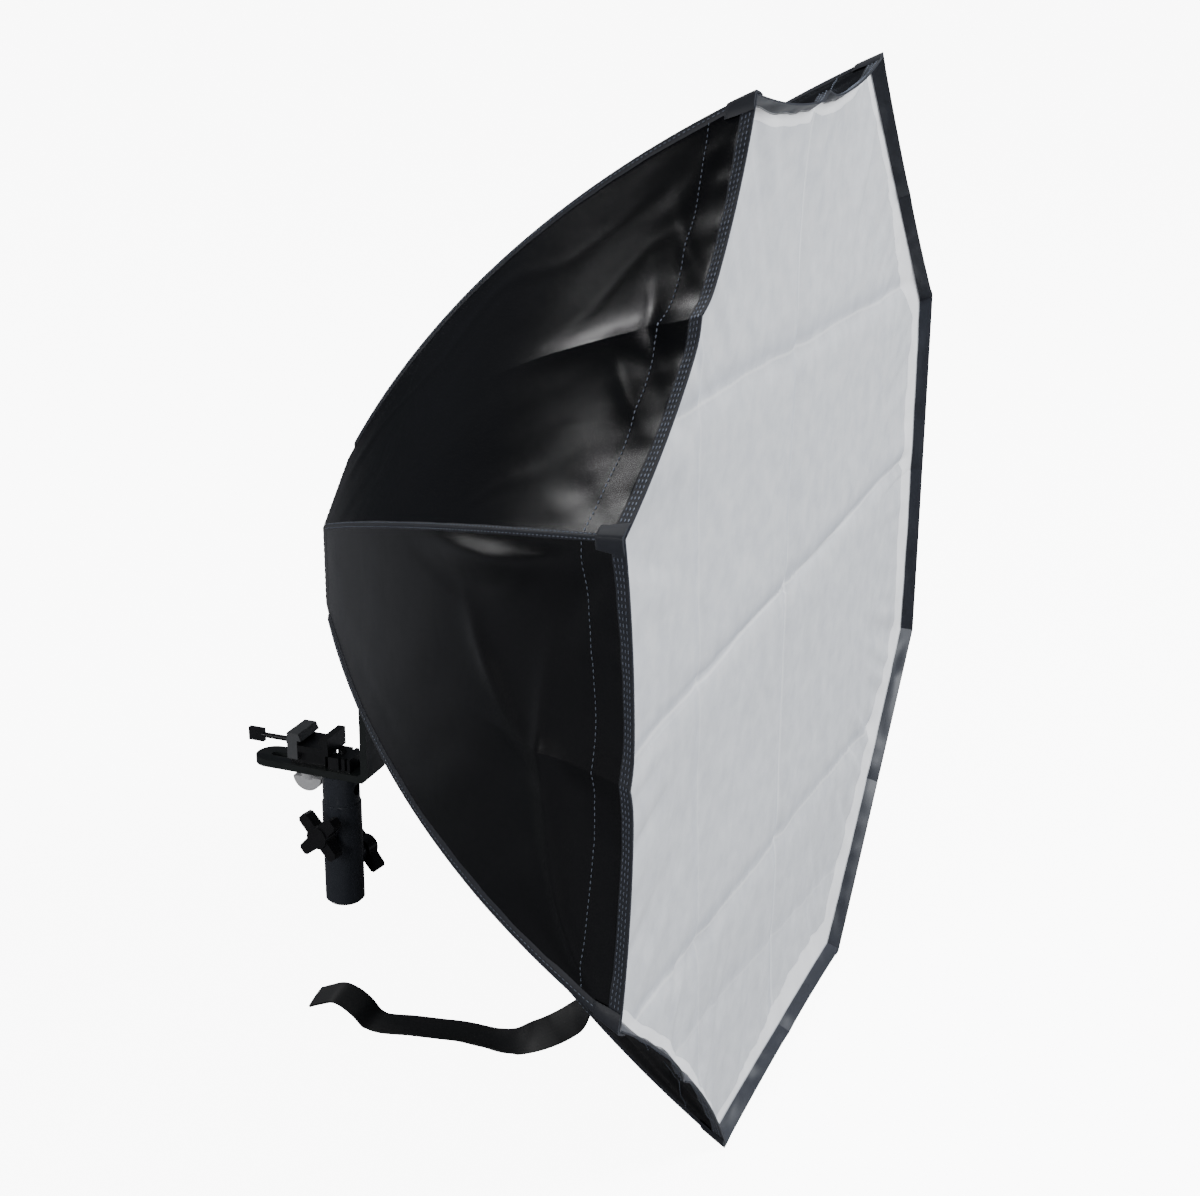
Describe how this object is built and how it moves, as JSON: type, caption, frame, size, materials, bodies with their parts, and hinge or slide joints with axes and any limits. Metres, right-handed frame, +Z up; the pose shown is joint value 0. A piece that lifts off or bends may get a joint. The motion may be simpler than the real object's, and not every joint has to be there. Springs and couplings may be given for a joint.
{
  "type": "octagonal softbox with speedlight bracket",
  "caption": "Folding eight-sided softbox with a white front diffuser on an angled bracket that holds a speedlight shoe and a clamping light-stand socket.",
  "frame": {"origin": "centre of the mouth of the light-stand socket", "axes": "+Y is the way the light leaves the box, along the optical axis; +Z is up, along the stand socket; +X is to the right seen from behind, on the side of the upper clamping knob"},
  "size_m": [0.6016, 0.386, 0.6016],
  "materials": {
    "canopy": "coated nylon, satin black outside and silver inside",
    "hem": "blue-grey woven binding",
    "diffuser": "matt translucent white nylon, creased",
    "webbing": "matt black woven webbing",
    "rib": "drawn steel rod",
    "ring": "satin dark grey powder coat",
    "bracket": "satin grey-green powder coat, worn edges",
    "socket": "satin blue-grey anodised",
    "knob": "moulded, soft gloss",
    "zinc": "zinc plated",
    "nut": "bright nickel plated",
    "shoe": "satin black anodised",
    "jaw": "satin grey anodised"
  },
  "bodies": {
    "rib_1": {"rib_1": "rib"},
    "panel_1a": {"panel_1a": "canopy"},
    "panel_1b": {"panel_1b": "canopy"},
    "diffuser_1": {"diffuser_1": "diffuser"},
    "rib_2": {"rib_2": "rib"},
    "panel_2a": {"panel_2a": "canopy"},
    "panel_2b": {"panel_2b": "canopy"},
    "diffuser_2": {"diffuser_2": "diffuser"},
    "rib_3": {"rib_3": "rib"},
    "panel_3a": {"panel_3a": "canopy"},
    "panel_3b": {"panel_3b": "canopy"},
    "diffuser_3": {"diffuser_3": "diffuser"},
    "rib_4": {"rib_4": "rib", "closing_strap": "webbing", "strap_patch": "webbing"},
    "panel_4a": {"panel_4a": "canopy"},
    "panel_4b": {"panel_4b": "canopy"},
    "diffuser_4": {"diffuser_4": "diffuser"},
    "rib_5": {"rib_5": "rib"},
    "panel_5a": {"panel_5a": "canopy"},
    "panel_5b": {"panel_5b": "canopy"},
    "diffuser_5": {"diffuser_5": "diffuser"},
    "rib_6": {"rib_6": "rib"},
    "panel_6a": {"panel_6a": "canopy"},
    "panel_6b": {"panel_6b": "canopy"},
    "diffuser_6": {"diffuser_6": "diffuser"},
    "rib_7": {"rib_7": "rib"},
    "panel_7a": {"panel_7a": "canopy"},
    "panel_7b": {"panel_7b": "canopy"},
    "diffuser_7": {"diffuser_7": "diffuser"},
    "rib_8": {"rib_8": "rib"},
    "panel_8a": {"panel_8a": "canopy"},
    "panel_8b": {"panel_8b": "canopy"},
    "diffuser_8": {"diffuser_8": "diffuser"},
    "mount": {"stand_sleeve": "socket", "socket_neck": "socket", "neck_bolt": "zinc", "cap_block": "shoe", "bracket_plate": "bracket", "ring_screws": "zinc", "speed_ring": "ring", "rib_pins": "zinc", "rear_collar": "hem"},
    "front_stud": {"front_clamp_stud": "zinc"},
    "front_knob": {"front_knob": "knob"},
    "rear_stud": {"rear_clamp_stud": "zinc"},
    "rear_knob": {"rear_knob": "knob"},
    "shoe_slider": {"shoe_washer": "zinc"},
    "shoe": {"shoe_base": "shoe", "shoe_guide_pins": "zinc", "shoe_stud": "zinc"},
    "thumb_nut": {"thumb_nut": "nut"},
    "shoe_jaw": {"shoe_jaw": "jaw"},
    "jaw_screw": {"jaw_thumb_screw": "knob"}
  },
  "joints": [
    {"name": "rib_fold_1", "type": "hinge", "parent": "mount", "child": "rib_1", "pos_m": [0.02373, 0.038, 0.32028], "axis": [-0.9239, 0, 0.3827], "range_deg": [0, 22]},
    {"name": "pleat_1a", "type": "hinge", "parent": "rib_1", "child": "panel_1a", "pos_m": [0.12458, 0.317, 0.56377], "axis": [0.2628, 0.7269, 0.6344], "range_deg": [-72.1, 0], "deforming": ["panel_1a"]},
    {"name": "pleat_1b", "type": "hinge", "parent": "rib_1", "child": "panel_1b", "pos_m": [0.12458, 0.317, 0.56377], "axis": [0.2628, 0.7269, 0.6344], "range_deg": [0, 72.1], "deforming": ["panel_1b"]},
    {"name": "diffuser_fold_1", "type": "hinge", "parent": "rib_1", "child": "diffuser_1", "pos_m": [0.12458, 0.3085, 0.56377], "axis": [-0.9239, 0, 0.3827], "range_deg": [0, 29.1], "deforming": ["diffuser_1"]},
    {"name": "rib_fold_2", "type": "hinge", "parent": "mount", "child": "rib_2", "pos_m": [0.05728, 0.038, 0.28673], "axis": [-0.3827, 0, 0.9239], "range_deg": [0, 22]},
    {"name": "pleat_2a", "type": "hinge", "parent": "rib_2", "child": "panel_2a", "pos_m": [0.30077, 0.317, 0.38758], "axis": [0.6344, 0.7269, 0.2628], "range_deg": [-72.1, 0], "deforming": ["panel_2a"]},
    {"name": "pleat_2b", "type": "hinge", "parent": "rib_2", "child": "panel_2b", "pos_m": [0.30077, 0.317, 0.38758], "axis": [0.6344, 0.7269, 0.2628], "range_deg": [0, 72.1], "deforming": ["panel_2b"]},
    {"name": "diffuser_fold_2", "type": "hinge", "parent": "rib_2", "child": "diffuser_2", "pos_m": [0.30077, 0.3085, 0.38758], "axis": [-0.3827, 0, 0.9239], "range_deg": [0, 29.1], "deforming": ["diffuser_2"]},
    {"name": "rib_fold_3", "type": "hinge", "parent": "mount", "child": "rib_3", "pos_m": [0.05728, 0.038, 0.23927], "axis": [0.3827, 0, 0.9239], "range_deg": [0, 22]},
    {"name": "pleat_3a", "type": "hinge", "parent": "rib_3", "child": "panel_3a", "pos_m": [0.30077, 0.317, 0.13842], "axis": [0.6344, 0.7269, -0.2628], "range_deg": [-72.1, 0], "deforming": ["panel_3a"]},
    {"name": "pleat_3b", "type": "hinge", "parent": "rib_3", "child": "panel_3b", "pos_m": [0.30077, 0.317, 0.13842], "axis": [0.6344, 0.7269, -0.2628], "range_deg": [0, 72.1], "deforming": ["panel_3b"]},
    {"name": "diffuser_fold_3", "type": "hinge", "parent": "rib_3", "child": "diffuser_3", "pos_m": [0.30077, 0.3085, 0.13842], "axis": [0.3827, 0, 0.9239], "range_deg": [0, 29.1], "deforming": ["diffuser_3"]},
    {"name": "rib_fold_4", "type": "hinge", "parent": "mount", "child": "rib_4", "pos_m": [0.02373, 0.038, 0.20572], "axis": [0.9239, 0, 0.3827], "range_deg": [0, 22]},
    {"name": "pleat_4a", "type": "hinge", "parent": "rib_4", "child": "panel_4a", "pos_m": [0.12458, 0.317, -0.03777], "axis": [0.2628, 0.7269, -0.6344], "range_deg": [-72.1, 0], "deforming": ["panel_4a"]},
    {"name": "pleat_4b", "type": "hinge", "parent": "rib_4", "child": "panel_4b", "pos_m": [0.12458, 0.317, -0.03777], "axis": [0.2628, 0.7269, -0.6344], "range_deg": [0, 72.1], "deforming": ["panel_4b"]},
    {"name": "diffuser_fold_4", "type": "hinge", "parent": "rib_4", "child": "diffuser_4", "pos_m": [0.12458, 0.3085, -0.03777], "axis": [0.9239, 0, 0.3827], "range_deg": [0, 29.1], "deforming": ["diffuser_4"]},
    {"name": "rib_fold_5", "type": "hinge", "parent": "mount", "child": "rib_5", "pos_m": [-0.02373, 0.038, 0.20572], "axis": [0.9239, 0, -0.3827], "range_deg": [0, 22]},
    {"name": "pleat_5a", "type": "hinge", "parent": "rib_5", "child": "panel_5a", "pos_m": [-0.12458, 0.317, -0.03777], "axis": [-0.2628, 0.7269, -0.6344], "range_deg": [-72.1, 0], "deforming": ["panel_5a"]},
    {"name": "pleat_5b", "type": "hinge", "parent": "rib_5", "child": "panel_5b", "pos_m": [-0.12458, 0.317, -0.03777], "axis": [-0.2628, 0.7269, -0.6344], "range_deg": [0, 72.1], "deforming": ["panel_5b"]},
    {"name": "diffuser_fold_5", "type": "hinge", "parent": "rib_5", "child": "diffuser_5", "pos_m": [-0.12458, 0.3085, -0.03777], "axis": [0.9239, 0, -0.3827], "range_deg": [0, 29.1], "deforming": ["diffuser_5"]},
    {"name": "rib_fold_6", "type": "hinge", "parent": "mount", "child": "rib_6", "pos_m": [-0.05728, 0.038, 0.23927], "axis": [0.3827, 0, -0.9239], "range_deg": [0, 22]},
    {"name": "pleat_6a", "type": "hinge", "parent": "rib_6", "child": "panel_6a", "pos_m": [-0.30077, 0.317, 0.13842], "axis": [-0.6344, 0.7269, -0.2628], "range_deg": [-72.1, 0], "deforming": ["panel_6a"]},
    {"name": "pleat_6b", "type": "hinge", "parent": "rib_6", "child": "panel_6b", "pos_m": [-0.30077, 0.317, 0.13842], "axis": [-0.6344, 0.7269, -0.2628], "range_deg": [0, 72.1], "deforming": ["panel_6b"]},
    {"name": "diffuser_fold_6", "type": "hinge", "parent": "rib_6", "child": "diffuser_6", "pos_m": [-0.30077, 0.3085, 0.13842], "axis": [0.3827, 0, -0.9239], "range_deg": [0, 29.1], "deforming": ["diffuser_6"]},
    {"name": "rib_fold_7", "type": "hinge", "parent": "mount", "child": "rib_7", "pos_m": [-0.05728, 0.038, 0.28673], "axis": [-0.3827, 0, -0.9239], "range_deg": [0, 22]},
    {"name": "pleat_7a", "type": "hinge", "parent": "rib_7", "child": "panel_7a", "pos_m": [-0.30077, 0.317, 0.38758], "axis": [-0.6344, 0.7269, 0.2628], "range_deg": [-72.1, 0], "deforming": ["panel_7a"]},
    {"name": "pleat_7b", "type": "hinge", "parent": "rib_7", "child": "panel_7b", "pos_m": [-0.30077, 0.317, 0.38758], "axis": [-0.6344, 0.7269, 0.2628], "range_deg": [0, 72.1], "deforming": ["panel_7b"]},
    {"name": "diffuser_fold_7", "type": "hinge", "parent": "rib_7", "child": "diffuser_7", "pos_m": [-0.30077, 0.3085, 0.38758], "axis": [-0.3827, 0, -0.9239], "range_deg": [0, 29.1], "deforming": ["diffuser_7"]},
    {"name": "rib_fold_8", "type": "hinge", "parent": "mount", "child": "rib_8", "pos_m": [-0.02373, 0.038, 0.32028], "axis": [-0.9239, 0, -0.3827], "range_deg": [0, 22]},
    {"name": "pleat_8a", "type": "hinge", "parent": "rib_8", "child": "panel_8a", "pos_m": [-0.12458, 0.317, 0.56377], "axis": [-0.2628, 0.7269, 0.6344], "range_deg": [-72.1, 0], "deforming": ["panel_8a"]},
    {"name": "pleat_8b", "type": "hinge", "parent": "rib_8", "child": "panel_8b", "pos_m": [-0.12458, 0.317, 0.56377], "axis": [-0.2628, 0.7269, 0.6344], "range_deg": [0, 72.1], "deforming": ["panel_8b"]},
    {"name": "diffuser_fold_8", "type": "hinge", "parent": "rib_8", "child": "diffuser_8", "pos_m": [-0.12458, 0.3085, 0.56377], "axis": [-0.9239, 0, -0.3827], "range_deg": [0, 29.1], "deforming": ["diffuser_8"]},
    {"name": "front_knob_travel", "type": "slide", "parent": "mount", "child": "front_stud", "axis": [0.9848, -0.1736, 0], "range_m": [0, 0.003]},
    {"name": "front_knob_turn", "type": "hinge", "parent": "front_stud", "child": "front_knob", "pos_m": [0, 0, 0.057], "axis": [0.9848, -0.1736, 0], "range_deg": [0, 1080]},
    {"name": "rear_knob_travel", "type": "slide", "parent": "mount", "child": "rear_stud", "axis": [-0.9903, 0.1392, 0], "range_m": [0, 0.003]},
    {"name": "rear_knob_turn", "type": "hinge", "parent": "rear_stud", "child": "rear_knob", "pos_m": [0, 0, 0.029], "axis": [-0.9903, 0.1392, 0], "range_deg": [0, 1080]},
    {"name": "shoe_slide", "type": "slide", "parent": "mount", "child": "shoe_slider", "axis": [0, 1, 0], "range_m": [-0.0235, 0]},
    {"name": "shoe_swivel", "type": "hinge", "parent": "shoe_slider", "child": "shoe", "pos_m": [0, -0.0245, 0.1], "axis": [0, 0, 1], "range_deg": [-90, 90]},
    {"name": "thumb_nut_turn", "type": "hinge", "parent": "shoe_slider", "child": "thumb_nut", "pos_m": [0, -0.0245, 0.09], "axis": [0, 0, 1], "range_deg": [-180, 180]},
    {"name": "jaw_slide", "type": "slide", "parent": "shoe", "child": "shoe_jaw", "axis": [0, -1, 0], "range_m": [0, 0.003]},
    {"name": "jaw_screw_turn", "type": "hinge", "parent": "shoe_jaw", "child": "jaw_screw", "pos_m": [0, -0.04, 0.1125], "axis": [0, -1, 0], "range_deg": [0, 1545]}
  ],
  "couplings": [
    {"joint": "pleat_1a", "follows": "rib_fold_1", "ratio": -3.2727},
    {"joint": "pleat_1b", "follows": "rib_fold_1", "ratio": 3.2727},
    {"joint": "diffuser_fold_1", "follows": "rib_fold_1", "ratio": 1.3166},
    {"joint": "rib_fold_2", "follows": "rib_fold_1", "ratio": 1},
    {"joint": "pleat_2a", "follows": "rib_fold_1", "ratio": -3.2727},
    {"joint": "pleat_2b", "follows": "rib_fold_1", "ratio": 3.2727},
    {"joint": "diffuser_fold_2", "follows": "rib_fold_1", "ratio": 1.3166},
    {"joint": "rib_fold_3", "follows": "rib_fold_1", "ratio": 1},
    {"joint": "pleat_3a", "follows": "rib_fold_1", "ratio": -3.2727},
    {"joint": "pleat_3b", "follows": "rib_fold_1", "ratio": 3.2727},
    {"joint": "diffuser_fold_3", "follows": "rib_fold_1", "ratio": 1.3166},
    {"joint": "rib_fold_4", "follows": "rib_fold_1", "ratio": 1},
    {"joint": "pleat_4a", "follows": "rib_fold_1", "ratio": -3.2727},
    {"joint": "pleat_4b", "follows": "rib_fold_1", "ratio": 3.2727},
    {"joint": "diffuser_fold_4", "follows": "rib_fold_1", "ratio": 1.3166},
    {"joint": "rib_fold_5", "follows": "rib_fold_1", "ratio": 1},
    {"joint": "pleat_5a", "follows": "rib_fold_1", "ratio": -3.2727},
    {"joint": "pleat_5b", "follows": "rib_fold_1", "ratio": 3.2727},
    {"joint": "diffuser_fold_5", "follows": "rib_fold_1", "ratio": 1.3166},
    {"joint": "rib_fold_6", "follows": "rib_fold_1", "ratio": 1},
    {"joint": "pleat_6a", "follows": "rib_fold_1", "ratio": -3.2727},
    {"joint": "pleat_6b", "follows": "rib_fold_1", "ratio": 3.2727},
    {"joint": "diffuser_fold_6", "follows": "rib_fold_1", "ratio": 1.3166},
    {"joint": "rib_fold_7", "follows": "rib_fold_1", "ratio": 1},
    {"joint": "pleat_7a", "follows": "rib_fold_1", "ratio": -3.2727},
    {"joint": "pleat_7b", "follows": "rib_fold_1", "ratio": 3.2727},
    {"joint": "diffuser_fold_7", "follows": "rib_fold_1", "ratio": 1.3166},
    {"joint": "rib_fold_8", "follows": "rib_fold_1", "ratio": 1},
    {"joint": "pleat_8a", "follows": "rib_fold_1", "ratio": -3.2727},
    {"joint": "pleat_8b", "follows": "rib_fold_1", "ratio": 3.2727},
    {"joint": "diffuser_fold_8", "follows": "rib_fold_1", "ratio": 1.3166},
    {"joint": "front_knob_travel", "follows": "front_knob_turn", "m_per_rad": 0.000159},
    {"joint": "rear_knob_travel", "follows": "rear_knob_turn", "m_per_rad": 0.000159},
    {"joint": "jaw_slide", "follows": "jaw_screw_turn", "m_per_rad": 0.000111}
  ]
}
